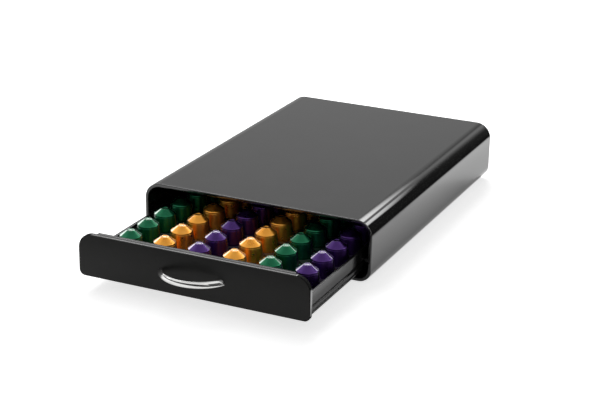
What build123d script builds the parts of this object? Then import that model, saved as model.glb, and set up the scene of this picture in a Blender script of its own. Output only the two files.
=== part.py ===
from build123d import *
from math import atan2, cos, degrees, pi, radians, sin
import os

# Coffee capsule drawer: a flat gloss-black casing, open at the front, and a drawer that
# slides out of it on two side runners and carries standing capsules in a socketed insert.
# Millimetres. X runs across the front, Y from the front to the back, Z up from the table.
# Every piece is drawn with the casing's front face at y = 0 and the drawer shut, and is
# carried to the shared frame at the end, where the drawer stands part way out.

# Casing; its width and depth follow from the drawer box that it takes
casing_height = 72.0
casing_wall = 4.0
casing_top_corner = 19.0
casing_bottom_corner = 15.0
rim_chamfer = 0.8
ceiling_rib_width = 2.0
ceiling_rib_height = 3.0
ceiling_rib_pitch = 46.0
ceiling_rib_count = 5
ceiling_rib_setback = 12.0

# Feet, stuck to the casing's underside
foot_radius = 8.0
foot_proud = 1.5
foot_inset = 24.0
foot_sides = 16

# Back panel, let into the casing's rear opening
back_panel_thickness = 3.0
back_panel_recess = 2.0
back_panel_gap = 0.3
back_boss_radius = 4.0
back_boss_length = 18.0
back_boss_pilot = 16.0
back_boss_inset = 54.0
back_rib_height = 4.0
back_rib_width = 2.0
back_rib_end_clearance = 16.0
back_rib_pitch = 40.0
back_rib_count = 4

# Drawer box; its width and length follow from the insert that it holds
tray_side_clearance = 7.0
tray_back_clearance = 5.35
tray_wall = 3.2
tray_floor = 2.2
tray_bottom_above_wall = 9.2
tray_side_height = 24.8
tray_front_wall = 4.3
tray_front_shoulder = 14.0
tray_back_stop_width = 104.0
tray_edge = 1.2
groove_height = 4.0
groove_depth = 1.7
groove_above_bottom = 7.3
relief_height = 2.0
relief_depth = 1.2
relief_above_bottom = 1.9
gusset_thickness = 2.4
gusset_reach = 18.0
gusset_top_reach = 6.0
gusset_top_drop = 6.0
gusset_inner = 58.0
gusset_inset = 39.0

# Drawer front
front_thickness = 5.0
front_height = 49.0
front_top_corner = 17.0
front_bottom_corner = 7.0
front_side_gap = 0.4
front_edge = 0.7

# Runners, one on each side wall of the casing, each with a blade in the drawer's groove
runner_flange_below = 6.0
runner_flange_above = 11.0
runner_flange_thickness = 2.4
runner_blade_gap = 0.35
runner_front_setback = 9.0
runner_back_setback = 14.0
runner_lead = 1.75
runner_head_margin = 1.0
runner_screw_count = 3

# Capsules
capsule_columns = 6
capsule_rows = 9
column_gap = 5.8
row_gap = 0.9
first_row_setback = 58.1
flange_radius = 18.5
flange_thickness = 1.2
body_foot_radius = 14.9
shoulder_radius = 12.25
shoulder_height = 21.7
crown_radius = 4.6
capsule_height = 28.6
capsule_sides = 8

# Capsule insert
socket_gap = 0.85
socket_sides = 8
socket_depth = 3.5
socket_floor_above_tray = 8.1
insert_skin = 2.0
insert_side_gap = 0.3
insert_side_land = 1.15
insert_end_land = 2.5
insert_rib_width = 2.0

# Handle
handle_half_chord = 36.5
handle_reach = 24.0
handle_bar_height = 7.2
handle_bar_depth = 4.6
handle_bar_sides = 12
handle_foot_radius = 4.1
handle_foot_length = 6.0
handle_foot_sides = 16
handle_above_front_middle = 0.3

# Travel
drawer_out = 149.2
drawer_travel = 285.0

# Stops and bumpers
stop_width = 18.0
stop_length = 20.0
stop_thickness = 2.5
stop_drop = 8.5
stop_gap = 0.3
stop_catch = 4.2
bumper_radius = 5.0
bumper_inset = 42.0
bumper_gap = 0.3
bumper_above_tray_bottom = 14.0
bumper_sides = 16

# Screws and their holes, all drawn with few flat sides
screw_sides = 8
screw_fit = 0.05
screw_clearance = 0.3
small_screw_radius = 1.4
small_head_radius = 2.7
small_head_height = 1.7
small_screw_bite = 3.0
handle_screw_radius = 1.9
handle_head_radius = 3.7
handle_head_height = 2.4
handle_screw_bite = 4.5
front_screw_inset = 25.0
front_screw_inner = 30.0
front_screw_above_bottom = 8.5

# Places that follow from the sizes above
casing_bottom = foot_proud
casing_top = casing_bottom + casing_height
casing_floor = casing_bottom + casing_wall
casing_ceiling = casing_top - casing_wall
tray_bottom = casing_floor + tray_bottom_above_wall
tray_inner_floor = tray_bottom + tray_floor
tray_side_top = tray_bottom + tray_side_height
groove_bottom = tray_bottom + groove_above_bottom
groove_middle = groove_bottom + groove_height / 2
front_middle = tray_bottom + front_height / 2
front_top = tray_bottom + front_height
socket_radius = flange_radius + socket_gap
column_pitch = 2 * flange_radius + column_gap
row_pitch = 2 * flange_radius + row_gap
last_column = (capsule_columns - 1) / 2 * column_pitch
insert_half = last_column + socket_radius + insert_side_land
tray_inner_half = insert_half + insert_side_gap
tray_half = tray_inner_half + tray_wall
casing_inside = tray_half + tray_side_clearance
casing_width = 2 * (casing_inside + casing_wall)
front_width = 2 * (casing_inside - front_side_gap)
socket_floor = tray_inner_floor + socket_floor_above_tray
deck_top = socket_floor + socket_depth
deck_bottom = socket_floor - insert_skin
last_row = first_row_setback + (capsule_rows - 1) * row_pitch
insert_front = first_row_setback - socket_radius - insert_end_land
insert_back = last_row + socket_radius + insert_end_land
tray_front = front_thickness
tray_inner_front = tray_front + tray_front_wall
tray_inner_back = insert_back + insert_side_gap
tray_back = tray_inner_back + tray_wall
back_panel_inside = tray_back + tray_back_clearance
back_panel_outside = back_panel_inside + back_panel_thickness
casing_depth = back_panel_outside + back_panel_recess
back_boss_low = casing_floor + back_boss_radius
back_boss_high = casing_ceiling - back_boss_radius
runner_front = runner_front_setback
runner_back = casing_depth - runner_back_setback
runner_screw_from_top = small_head_radius + runner_head_margin
runner_screw_height = groove_middle + runner_flange_above - runner_screw_from_top
stop_back = tray_inner_back - drawer_travel - stop_gap
stop_middle = stop_back - stop_length / 2
stop_bottom = casing_ceiling - stop_drop
back_stop_top = stop_bottom + stop_catch
handle_height = front_middle + handle_above_front_middle
handle_sag = handle_reach - handle_bar_depth / 2
handle_radius = (handle_half_chord**2 + handle_sag**2) / (2 * handle_sag)
handle_centre = handle_radius - handle_sag
handle_half_turn = degrees(atan2(handle_half_chord, handle_centre))
bumper_height = tray_bottom + bumper_above_tray_bottom
front_screw_height = tray_bottom + front_screw_above_bottom
back_boss_front = back_panel_inside - back_boss_length
small_pilot = small_screw_radius + screw_fit
small_hole = small_screw_radius + screw_clearance
handle_pilot = handle_screw_radius + screw_fit
handle_hole = handle_screw_radius + screw_clearance
stop_spread = ceiling_rib_pitch
sides = (-1, 1)
back_boss_across = casing_width / 2 - back_boss_inset
bumper_across = casing_width / 2 - bumper_inset
front_screw_outer = tray_half - front_screw_inset
front_screw_columns = (-front_screw_outer, -front_screw_inner, front_screw_inner, front_screw_outer)
gusset_outer = tray_half - gusset_inset
gusset_places = (-gusset_outer, -gusset_inner, gusset_inner, gusset_outer)

# The shared frame stands on the middle of the whole object's footprint, drawer out
overall_length = casing_depth + drawer_out + handle_reach
casing_home = Pos(0, overall_length / 2 - casing_depth, 0)
drawer_home = casing_home * Pos(0, -drawer_out, 0)


def along_y(outline, start, length):
    """Extrude an outline drawn in X and Z from y = start towards the back."""
    return extrude(Plane.XZ.offset(-start) * outline, -length)


def block(x_range, y_range, z_range):
    """A box between two limits on each axis."""
    size = [high - low for low, high in (x_range, y_range, z_range)]
    middle = [(high + low) / 2 for low, high in (x_range, y_range, z_range)]
    return Pos(*middle) * Box(*size)


def rod_along_y(x, z, radius, start, end, count=screw_sides):
    """A rod with flat sides, or the cutter of such a hole, along Y."""
    return along_y(Pos(x, z) * RegularPolygon(radius, count), start, end - start)


def rod_along_x(x_start, x_end, y, z, radius):
    """The cutter of a screw's hole along X."""
    profile = Plane.YZ.offset(x_start) * Pos(y, z) * RegularPolygon(radius, screw_sides)
    return extrude(profile, x_end - x_start)


def rod_up(x, y, radius, bottom, top, count=screw_sides):
    """A rod with flat sides, or the cutter of such a hole, along Z."""
    return extrude(Pos(x, y, bottom) * RegularPolygon(radius, count), top - bottom)


def round_rectangle(width, bottom, top, low_radius, high_radius):
    """An upright rectangle whose lower and upper corners have their own radii."""
    outline = Pos(0, (bottom + top) / 2) * Rectangle(width, top - bottom)
    rows = outline.vertices().group_by(Axis.Y)
    outline = fillet(rows[0], low_radius)
    return fillet(outline.vertices().group_by(Axis.Y)[-1], high_radius)


def spread(count, pitch):
    """Evenly spaced places about zero."""
    return [(i - (count - 1) / 2) * pitch for i in range(count)]


def gathered(solids):
    """Several separate solids under one name."""
    return Compound(list(solids))


def screw(shank, head, head_height, length):
    """A screw along Z: its head stands on the origin and its tip points down."""
    top = extrude(RegularPolygon(head, screw_sides), head_height)
    return top + extrude(RegularPolygon(shank, screw_sides), -length)


def small_screw(length):
    return screw(small_screw_radius, small_head_radius, small_head_height, length)


def casing_outline(inset):
    return round_rectangle(
        casing_width - 2 * inset,
        casing_bottom + inset,
        casing_top - inset,
        casing_bottom_corner - inset,
        casing_top_corner - inset,
    )


def foot_places():
    across = casing_width / 2 - foot_inset
    return [(x, y) for x in (-across, across) for y in (foot_inset, casing_depth - foot_inset)]


def runner_screw_places():
    step = (runner_back - runner_front) / runner_screw_count
    return [runner_front + (i + 0.5) * step for i in range(runner_screw_count)]


def back_screw_places():
    heights = (back_boss_low, back_boss_high)
    return [(side * back_boss_across, z) for side in sides for z in heights]


def ceiling_rib(x):
    """A low stiffening rib along the underside of the casing's top."""
    half = ceiling_rib_width / 2
    return block(
        (x - half, x + half),
        (ceiling_rib_setback, back_boss_front),
        (casing_ceiling - ceiling_rib_height, casing_ceiling),
    )


def back_boss(x, z):
    """A block for a back screw, standing on the wall beside it."""
    reach = back_boss_radius
    wall, face = (
        (casing_ceiling, z - reach) if z == back_boss_high else (casing_floor, z + reach)
    )
    return block((x - reach, x + reach), (back_boss_front, back_panel_inside), sorted((wall, face)))


def casing_holes():
    """The cutters of every pilot hole in the casing."""
    holes = []
    for x, z in back_screw_places():
        pilot_end = back_panel_inside - back_boss_pilot
        holes.append(rod_along_y(x, z, small_pilot, pilot_end, back_panel_inside))
    for side in sides:
        wall = side * casing_inside
        hole_end = wall + side * (small_screw_bite + screw_fit)
        for y in runner_screw_places():
            holes.append(rod_along_x(wall, hole_end, y, runner_screw_height, small_pilot))
    for x in spread(2, stop_spread):
        hole_top = casing_ceiling + small_screw_bite + screw_fit
        holes.append(rod_up(x, stop_middle, small_pilot, casing_ceiling, hole_top))
    return holes


def casing():
    """One moulding: top, sides and bottom in a closed ring, with ribs under the top."""
    shell = along_y(casing_outline(0), 0, casing_depth)
    shell = chamfer(shell.edges().group_by(Axis.Y)[0], rim_chamfer)
    shell -= along_y(casing_outline(casing_wall), 0, casing_depth)
    for x in spread(ceiling_rib_count, ceiling_rib_pitch):
        shell += ceiling_rib(x)
    for x, z in back_screw_places():
        shell += back_boss(x, z)
    for hole in casing_holes():
        shell -= hole
    return shell


def back_panel():
    """A plate let into the rear opening, stiffened by upright ribs on its inner face."""
    outline = casing_outline(casing_wall + back_panel_gap)
    panel = along_y(outline, back_panel_inside, back_panel_thickness)
    low = casing_floor + back_rib_end_clearance
    high = casing_ceiling - back_rib_end_clearance
    deep = (back_panel_inside - back_rib_height, back_panel_inside)
    half = back_rib_width / 2
    for x in spread(back_rib_count, back_rib_pitch):
        panel += block((x - half, x + half), deep, (low, high))
    for x, z in back_screw_places():
        panel -= rod_along_y(x, z, small_hole, back_panel_inside, back_panel_outside)
    return panel


def back_screws():
    length = back_panel_thickness + back_boss_length / 2
    return gathered(
        Pos(x, back_panel_outside, z) * Rot(-90, 0, 0) * small_screw(length)
        for x, z in back_screw_places()
    )


def runner(side):
    """A T-shaped strip: a flange against the casing's wall and a blade for the groove."""
    wall = side * casing_inside
    flange_face = wall - side * runner_flange_thickness
    blade_tip = side * (tray_half - groove_depth + runner_blade_gap)
    flange_z = (groove_middle - runner_flange_below, groove_middle + runner_flange_above)
    blade_half = groove_height / 2 - runner_blade_gap
    blade_z = (groove_middle - blade_half, groove_middle + blade_half)
    deep = (runner_front, runner_back)
    strip = block(sorted((wall, flange_face)), deep, flange_z)
    strip += block(sorted((flange_face, blade_tip)), deep, blade_z)
    tip_edges = strip.edges().filter_by(Axis.Z).group_by(Axis.X)[0 if side > 0 else -1]
    strip = chamfer(tip_edges, runner_lead)
    for y in runner_screw_places():
        strip -= rod_along_x(wall, flange_face, y, runner_screw_height, small_hole)
    return strip


def runner_screws():
    """Screws through both runners' flanges, their tips pointing outwards."""
    one = small_screw(runner_flange_thickness + small_screw_bite)
    face = casing_inside - runner_flange_thickness
    return gathered(
        Pos(side * face, y, runner_screw_height) * Rot(0, -90 * side, 0) * one
        for side in sides
        for y in runner_screw_places()
    )


def foot(x, y):
    """A flat rubber pad."""
    return rod_up(x, y, foot_radius, 0, foot_proud, foot_sides)


def stop(x):
    """A bent tab under the casing's top, which catches the drawer's raised back."""
    half = stop_width / 2
    front = stop_back - stop_length
    tab = block(
        (x - half, x + half), (front, stop_back), (casing_ceiling - stop_thickness, casing_ceiling)
    )
    tab += block(
        (x - half, x + half), (stop_back - stop_thickness, stop_back), (stop_bottom, casing_ceiling)
    )
    return tab - rod_up(x, stop_middle, small_hole, casing_ceiling - stop_thickness, casing_ceiling)


def stop_screws():
    one = small_screw(stop_thickness + small_screw_bite)
    face = casing_ceiling - stop_thickness
    return gathered(
        Pos(x, stop_middle, face) * Rot(180, 0, 0) * one for x in spread(2, stop_spread)
    )


def bumper(side):
    """A rubber button on the back panel that the drawer meets when it is shut."""
    x = side * bumper_across
    front = tray_back + bumper_gap
    return rod_along_y(x, bumper_height, bumper_radius, front, back_panel_inside, bumper_sides)


def front_outline():
    return round_rectangle(
        front_width, tray_bottom, front_top, front_bottom_corner, front_top_corner
    )


def drawer_front():
    """The flat front, rounded more at its upper corners than at its lower ones."""
    plate = along_y(front_outline(), 0, front_thickness)
    plate = chamfer(plate.edges().group_by(Axis.Y)[0], front_edge)
    bite = front_thickness - small_screw_bite - screw_fit
    for x in front_screw_columns:
        plate -= rod_along_y(x, front_screw_height, small_pilot, bite, front_thickness)
    for side in sides:
        x = side * handle_half_chord
        plate -= rod_along_y(x, handle_height, handle_hole, 0, front_thickness)
    return plate


def tray_front_outline():
    """The tall front wall, whose shoulders slope in to its narrower top."""
    half = tray_half
    top_half = half - tray_front_shoulder
    shoulder = tray_side_top + tray_front_shoulder / 2
    return make_face(
        Polyline(
            (-half, tray_bottom),
            (half, tray_bottom),
            (half, tray_side_top),
            (top_half, shoulder),
            (top_half, front_top),
            (-top_half, front_top),
            (-top_half, shoulder),
            (-half, tray_side_top),
            close=True,
        )
    )


def tray_gusset(x):
    """A tapered web between the drawer box's floor and its tall front wall."""
    gusset_top = front_top - gusset_top_drop
    profile = make_face(
        Polyline(
            (tray_inner_front, tray_inner_floor),
            (tray_inner_front + gusset_reach, tray_inner_floor),
            (tray_inner_front + gusset_top_reach, gusset_top),
            (tray_inner_front, gusset_top),
            close=True,
        )
    )
    return extrude(Plane.YZ.offset(x - gusset_thickness / 2) * profile, gusset_thickness)


def side_grooves(side):
    """The runner's groove and the relief groove below it, along one side."""
    half = tray_half
    deep = (tray_front, tray_back)
    relief_bottom = tray_bottom + relief_above_bottom
    groove = block(
        sorted((side * half, side * (half - groove_depth))),
        deep,
        (groove_bottom, groove_bottom + groove_height),
    )
    relief = block(
        sorted((side * half, side * (half - relief_depth))),
        deep,
        (relief_bottom, relief_bottom + relief_height),
    )
    return groove + relief


def drawer_tray():
    """The drawer box: floor, grooved sides, tall front wall and a raised stop at the back."""
    outline = Pos(0, (tray_bottom + tray_side_top) / 2) * Rectangle(2 * tray_half, tray_side_height)
    outline = fillet(outline.vertices().group_by(Axis.Y)[0], tray_edge)
    tray = along_y(outline, tray_front, tray_back - tray_front)
    tray -= block(
        (-tray_inner_half, tray_inner_half),
        (tray_inner_front, tray_inner_back),
        (tray_inner_floor, tray_side_top),
    )
    tray += along_y(tray_front_outline(), tray_front, tray_front_wall)
    tray += block(
        (-tray_back_stop_width / 2, tray_back_stop_width / 2),
        (tray_inner_back, tray_back),
        (tray_bottom, back_stop_top),
    )
    for side in sides:
        tray -= side_grooves(side)
    for x in gusset_places:
        tray += tray_gusset(x)
    for x in front_screw_columns:
        tray -= rod_along_y(x, front_screw_height, small_hole, tray_front, tray_inner_front)
    for side in sides:
        x = side * handle_half_chord
        tray -= rod_along_y(x, handle_height, handle_hole, tray_front, tray_inner_front)
    return tray


def front_screws():
    one = Rot(-90, 0, 0) * small_screw(tray_front_wall + small_screw_bite)
    return gathered(Pos(x, tray_inner_front, front_screw_height) * one for x in front_screw_columns)


def handle_section():
    """The bar's section, an oval with few sides, on the plane that the bow is turned from."""
    turns = [360 * i / handle_bar_sides for i in range(handle_bar_sides)]
    middle = handle_centre - handle_radius
    corners = [
        (
            middle + handle_bar_depth / 2 * cos(radians(turn)),
            handle_height + handle_bar_height / 2 * sin(radians(turn)),
        )
        for turn in turns
    ]
    return Plane.YZ * make_face(Polyline(*corners, close=True))


def handle():
    """A bowed bar, turned about the bow's centre, on two round feet."""
    spine = Axis((0, handle_centre, 0), (0, 0, 1))
    reach = handle_half_turn + degrees(handle_bar_depth / handle_radius)
    bar = revolve(handle_section().rotate(spine, -reach), spine, 2 * reach)
    beyond = 2 * handle_radius
    bar -= block((-beyond, beyond), (0, beyond), (handle_height - beyond, handle_height + beyond))
    for side in sides:
        x = side * handle_half_chord
        length = handle_foot_length
        bar += rod_along_y(x, handle_height, handle_foot_radius, -length, 0, handle_foot_sides)
    for side in sides:
        x = side * handle_half_chord
        bar -= rod_along_y(x, handle_height, handle_pilot, -handle_screw_bite - screw_fit, 0)
    return bar


def handle_screws():
    length = tray_inner_front + handle_screw_bite
    one = screw(handle_screw_radius, handle_head_radius, handle_head_height, length)
    return gathered(
        Pos(side * handle_half_chord, tray_inner_front, handle_height) * Rot(-90, 0, 0) * one
        for side in sides
    )


def column_places():
    return spread(capsule_columns, column_pitch)


def row_places():
    return [first_row_setback + i * row_pitch for i in range(capsule_rows)]


def socket_outline():
    """An eight-sided socket that a round flange fits, its flats facing its neighbours."""
    outline = RegularPolygon(socket_radius, socket_sides, major_radius=False)
    return Rot(0, 0, 180 / socket_sides) * outline


def capsule_insert():
    """A deck with a run of joined sockets for each column, on a skirt and ribs."""
    half = insert_half
    deep = (insert_front, insert_back)
    deck = block((-half, half), deep, (deck_bottom, deck_top))
    for x in column_places():
        sockets = Sketch() + [Pos(x, y) * socket_outline() for y in row_places()]
        deck -= extrude(Pos(0, 0, socket_floor) * sockets, socket_depth)
    under = (tray_inner_floor, deck_bottom)
    skirt_half = half - insert_skin
    hollow = block(
        (-skirt_half, skirt_half), (insert_front + insert_skin, insert_back - insert_skin), under
    )
    insert = deck + (block((-half, half), deep, under) - hollow)
    rib_half = insert_rib_width / 2
    for x in spread(capsule_columns - 1, column_pitch):
        insert += block((x - rib_half, x + rib_half), deep, under)
    return insert


def polygon_at(radius, height):
    """A level regular polygon of the capsule's faceted body."""
    return Pos(0, 0, height) * RegularPolygon(radius, capsule_sides)


def tapered(low_radius, high_radius, bottom, top):
    """A faceted body whose flat sides lean in from one level polygon to a smaller one."""
    inwards = (low_radius - high_radius) * cos(pi / capsule_sides)
    lean = degrees(atan2(inwards, top - bottom))
    return extrude(polygon_at(low_radius, bottom), top - bottom, taper=lean)


def capsule():
    """A standing capsule: flange down, tapered faceted body and a cone-shaped crown."""
    flange_top = socket_floor + flange_thickness
    shoulder = socket_floor + shoulder_height
    flange = extrude(polygon_at(flange_radius, socket_floor), flange_thickness)
    body = tapered(body_foot_radius, shoulder_radius, flange_top, shoulder)
    crown = tapered(shoulder_radius, crown_radius, shoulder, socket_floor + capsule_height)
    return flange + body + crown


def capsule_column(x):
    one = capsule()
    return gathered(Pos(x, y, 0) * one for y in row_places())


def write(name, shape, home):
    """Carry a piece to the shared frame and write it under its name."""
    shape = home * shape
    shape.label = name
    export_step(shape, f"parts/{name}.step")
    print(f"{name}: {len(shape.solids())} solid(s)")


def main():
    os.makedirs("parts", exist_ok=True)
    write("casing", casing(), casing_home)
    write("back_panel", back_panel(), casing_home)
    write("back_screws", back_screws(), casing_home)
    write("left_runner", runner(-1), casing_home)
    write("right_runner", runner(1), casing_home)
    write("runner_screws", runner_screws(), casing_home)
    corners = ("front_left", "back_left", "front_right", "back_right")
    for corner, (x, y) in zip(corners, foot_places()):
        write(f"foot_{corner}", foot(x, y), casing_home)
    left_stop, right_stop = spread(2, stop_spread)
    write("left_stop", stop(left_stop), casing_home)
    write("right_stop", stop(right_stop), casing_home)
    write("stop_screws", stop_screws(), casing_home)
    write("left_bumper", bumper(-1), casing_home)
    write("right_bumper", bumper(1), casing_home)
    write("drawer_tray", drawer_tray(), drawer_home)
    write("drawer_front", drawer_front(), drawer_home)
    write("front_screws", front_screws(), drawer_home)
    write("handle", handle(), drawer_home)
    write("handle_screws", handle_screws(), drawer_home)
    write("capsule_insert", capsule_insert(), drawer_home)
    for number, x in enumerate(column_places(), start=1):
        write(f"capsules_column_{number}", capsule_column(x), drawer_home)


main()
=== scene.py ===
# %% [markdown]
# # A drawer for coffee capsules
# The real object is a flat, gloss-black casing with a drawer in it. The CAD model already has
# every piece at its true size and place. This lesson dresses that model: it rebuilds the pieces
# that show with rounder edges, gives each one a finish, and lights them for a picture.
# Everything below is drawn in millimetres and made metres at the very end of each piece.

import math
import random
from functools import partial

import bmesh
import bpy
from mathutils import Matrix, Vector


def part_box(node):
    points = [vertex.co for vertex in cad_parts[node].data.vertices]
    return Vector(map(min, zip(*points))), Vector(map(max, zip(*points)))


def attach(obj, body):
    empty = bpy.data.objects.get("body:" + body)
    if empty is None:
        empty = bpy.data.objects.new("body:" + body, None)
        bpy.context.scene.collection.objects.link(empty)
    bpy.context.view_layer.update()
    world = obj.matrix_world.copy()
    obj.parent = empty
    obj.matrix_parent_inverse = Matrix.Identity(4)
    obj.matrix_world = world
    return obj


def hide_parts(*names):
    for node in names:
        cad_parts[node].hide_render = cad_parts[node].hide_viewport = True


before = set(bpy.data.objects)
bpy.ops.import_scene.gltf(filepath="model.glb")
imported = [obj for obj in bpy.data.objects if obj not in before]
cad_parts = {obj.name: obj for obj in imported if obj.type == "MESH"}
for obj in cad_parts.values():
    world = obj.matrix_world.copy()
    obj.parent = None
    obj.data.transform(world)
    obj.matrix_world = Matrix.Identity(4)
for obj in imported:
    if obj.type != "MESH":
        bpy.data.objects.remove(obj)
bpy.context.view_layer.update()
MM = 0.001

# %% Read the places that pieces start from
casing_low, casing_high = [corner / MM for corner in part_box("casing")]
front_low, front_high = [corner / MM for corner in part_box("drawer_front")]
tray_low, tray_high = [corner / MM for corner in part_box("drawer_tray")]
handle_low, handle_high = [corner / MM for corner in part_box("handle")]
insert_low, insert_high = [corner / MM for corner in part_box("capsule_insert")]
casing_width = casing_high.x - casing_low.x
CASING_WALL = 4.0
print("casing, millimetres", [round(v, 1) for v in casing_high - casing_low])

# %% [markdown]
# ## Tools for every piece
# A piece starts as a bmesh, Blender's editable mesh. `finish_piece` turns it into an object: it
# scales millimetres to metres, marks the edges that should stay crisp, shades the rest smooth,
# and weights the normals by face area, so that a large flat face beside a small round one
# reflects like a flat face. Then it hangs the piece from the empty of the body it rides on,
# hides the CAD nodes it stands for and gives it its material.

# %% Turn a bmesh into a finished piece
CRISP_ANGLE = math.radians(34)


def finish_piece(bm, name, body, nodes, material, crisp=CRISP_ANGLE, outwards=True):
    bmesh.ops.transform(bm, matrix=Matrix.Scale(MM, 4), verts=bm.verts)
    if outwards:
        bmesh.ops.recalc_face_normals(bm, faces=bm.faces)
    for face in bm.faces:
        face.smooth = True
    for edge in bm.edges:
        edge.smooth = edge.calc_face_angle(math.pi) < crisp
    mesh = bpy.data.meshes.new(name)
    bm.to_mesh(mesh)
    bm.free()
    piece = bpy.data.objects.new(name, mesh)
    bpy.context.collection.objects.link(piece)
    mesh.materials.append(material)
    weighted = piece.modifiers.new("area_weighted_normals", "WEIGHTED_NORMAL")
    weighted.keep_sharp = True
    weighted.weight = 100
    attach(piece, body)
    if nodes:
        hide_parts(*nodes)
    print(f"{name}: {len(mesh.polygons)} faces for {', '.join(nodes) or 'no node'}")
    return piece


# %% [markdown]
# ## Shapes that several pieces start from
# Most of the real pieces are mouldings: an outline drawn out in one direction, or a profile
# turned round a line. Rounding the flat outline first, by a bevel on its corner vertices, keeps
# the rounding the same all the way along. The sharp edges that are left are eased afterwards.

# %% Draw an upright rectangle, sharp or round at its corners
SAME_PLACE, ON_PLANE, CUT_SNAP = 1e-4, 1e-3, 1e-5


def upright_face(bm, width, low, high, y):
    """A rectangle that stands upright and faces the front."""
    corners = [(-width / 2, low), (width / 2, low), (width / 2, high), (-width / 2, high)]
    return bm.faces.new([bm.verts.new((x, y, z)) for x, z in corners])


def round_upright_face(bm, width, low, high, y, low_radius, high_radius, steps=14):
    """The same rectangle with its lower and upper corners rounded."""
    upright_face(bm, width, low, high, y)
    middle = (low + high) / 2
    for radius, above in ((low_radius, False), (high_radius, True)):
        corners = [v for v in bm.verts if (v.co.z > middle) == above and len(v.link_edges) == 2]
        sharp = [v for v in corners if abs(abs(v.co.x) - width / 2) < SAME_PLACE]
        bmesh.ops.bevel(
            bm, geom=sharp, offset=radius, offset_type="OFFSET", segments=steps,
            profile=0.5, affect="VERTICES", material=-1, clamp_overlap=False,
        )
    return bm.faces[:]


# %% Give a flat outline its depth, and ease edges
def thicken(bm, faces, depth):
    """Extrude faces towards the back into a closed solid."""
    made = bmesh.ops.extrude_face_region(bm, geom=faces, use_keep_orig=True)
    moved = [item for item in made["geom"] if isinstance(item, bmesh.types.BMVert)]
    bmesh.ops.translate(bm, vec=(0, depth, 0), verts=moved)
    bmesh.ops.recalc_face_normals(bm, faces=bm.faces)


def ease(bm, edges, size, steps=3):
    """Round the given edges over by a small radius."""
    bmesh.ops.bevel(
        bm, geom=list(edges), offset=size, offset_type="OFFSET", segments=steps,
        profile=0.5, affect="EDGES", material=-1, clamp_overlap=True,
    )


def edges_at_depth(bm, y):
    """The crisp edges that lie in one upright plane."""
    return [
        e for e in bm.edges
        if all(abs(v.co.y - y) < ON_PLANE for v in e.verts) and e.calc_face_angle(0) > 1
    ]


# %% Add a box or a turned part to a mesh
def box_part(bm, low, high, rounding=0.0, steps=2):
    """A box between two corners, added to the mesh, with its edges eased."""
    low, high = Vector(low), Vector(high)
    made = bmesh.ops.create_cube(bm, size=1.0)["verts"]
    size = high - low
    place = Matrix.Translation((low + high) / 2) @ Matrix.Diagonal((*size, 1))
    bmesh.ops.transform(bm, matrix=place, verts=made)
    if rounding:
        ease(bm, {e for v in made for e in v.link_edges}, rounding, steps)


def turned_part(bm, profile, centre, steps=48, turn=Matrix.Identity(4)):
    """Spin a profile of (radius, height) points a full turn about an upright line."""
    verts = [bm.verts.new((radius, 0, height)) for radius, height in profile]
    edges = [bm.edges.new(pair) for pair in zip(verts, verts[1:])]
    before = set(bm.verts) - set(verts)
    bmesh.ops.spin(
        bm, geom=verts + edges, cent=(0, 0, 0), axis=(0, 0, 1), angle=2 * math.pi,
        steps=steps, use_merge=True,
    )
    made = [v for v in bm.verts if v not in before]
    bmesh.ops.remove_doubles(bm, verts=made, dist=SAME_PLACE)
    made = [v for v in bm.verts if v not in before]
    bmesh.ops.transform(bm, matrix=Matrix.Translation(centre) @ turn, verts=made)


# %% [markdown]
# ## Finishes
# The casing is polished black plastic, which reads as black only where nothing bright is
# mirrored in it. A clear coat over the base strengthens the mirror at low angles, as polish does.
# Fine noise in the roughness stands for the marks of wiping, and a much larger, weaker noise in
# the bump for the slight waves of a moulded sheet. The edges that hands touch are paler: the
# Bevel node finds them, by comparing the rounded normal with the real one.

# %% Build a material from its nodes
def new_material(name):
    material = bpy.data.materials.new(name)
    material.use_nodes = True
    nodes, links = material.node_tree.nodes, material.node_tree.links
    nodes.clear()
    output = nodes.new("ShaderNodeOutputMaterial")
    shader = nodes.new("ShaderNodeBsdfPrincipled")
    links.new(shader.outputs["BSDF"], output.inputs["Surface"])
    coordinates = nodes.new("ShaderNodeTexCoord")
    return material, nodes, links, shader, coordinates.outputs["Object"]


# %% Add the nodes that patterns are made of
def noise(nodes, links, place, scale, detail=4.0, roughness=0.55):
    node = nodes.new("ShaderNodeTexNoise")
    node.inputs["Scale"].default_value = scale
    node.inputs["Detail"].default_value = detail
    node.inputs["Roughness"].default_value = roughness
    links.new(place, node.inputs["Vector"])
    return node.outputs["Fac"]


def remap(nodes, links, value, low, high, from_low=0.3, from_high=0.7):
    """Stretch a value to a new range. A noise keeps mostly between 0.3 and 0.7."""
    node = nodes.new("ShaderNodeMapRange")
    for name, number in (("From Min", from_low), ("From Max", from_high),
                         ("To Min", low), ("To Max", high)):
        node.inputs[name].default_value = number
    links.new(value, node.inputs["Value"])
    return node.outputs["Result"]


def colour_between(nodes, links, value, first, second):
    """A colour mix. Its inputs 0, 6 and 7 are the factor and the two colours."""
    node = nodes.new("ShaderNodeMix")
    node.data_type = "RGBA"
    node.inputs[6].default_value = (*first, 1)
    node.inputs[7].default_value = (*second, 1)
    links.new(value, node.inputs[0])
    return node.outputs[2]


def math_node(nodes, links, operation, first, second=None):
    node = nodes.new("ShaderNodeMath")
    node.operation = operation
    for socket, value in zip(node.inputs, (first, second)):
        if value is None:
            continue
        if isinstance(value, (int, float)):
            socket.default_value = value
        else:
            links.new(value, socket)
    return node.outputs[0]


# %% Add relief and worn edges, and mix a second shader in
def bump(nodes, links, height, distance, strength, below=None):
    node = nodes.new("ShaderNodeBump")
    node.inputs["Distance"].default_value = distance
    node.inputs["Strength"].default_value = strength
    links.new(height, node.inputs["Height"])
    if below is not None:
        links.new(below, node.inputs["Normal"])
    return node.outputs["Normal"]


SAME_NORMAL, FULL_WEAR_NORMAL = 0.985, 0.72


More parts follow.
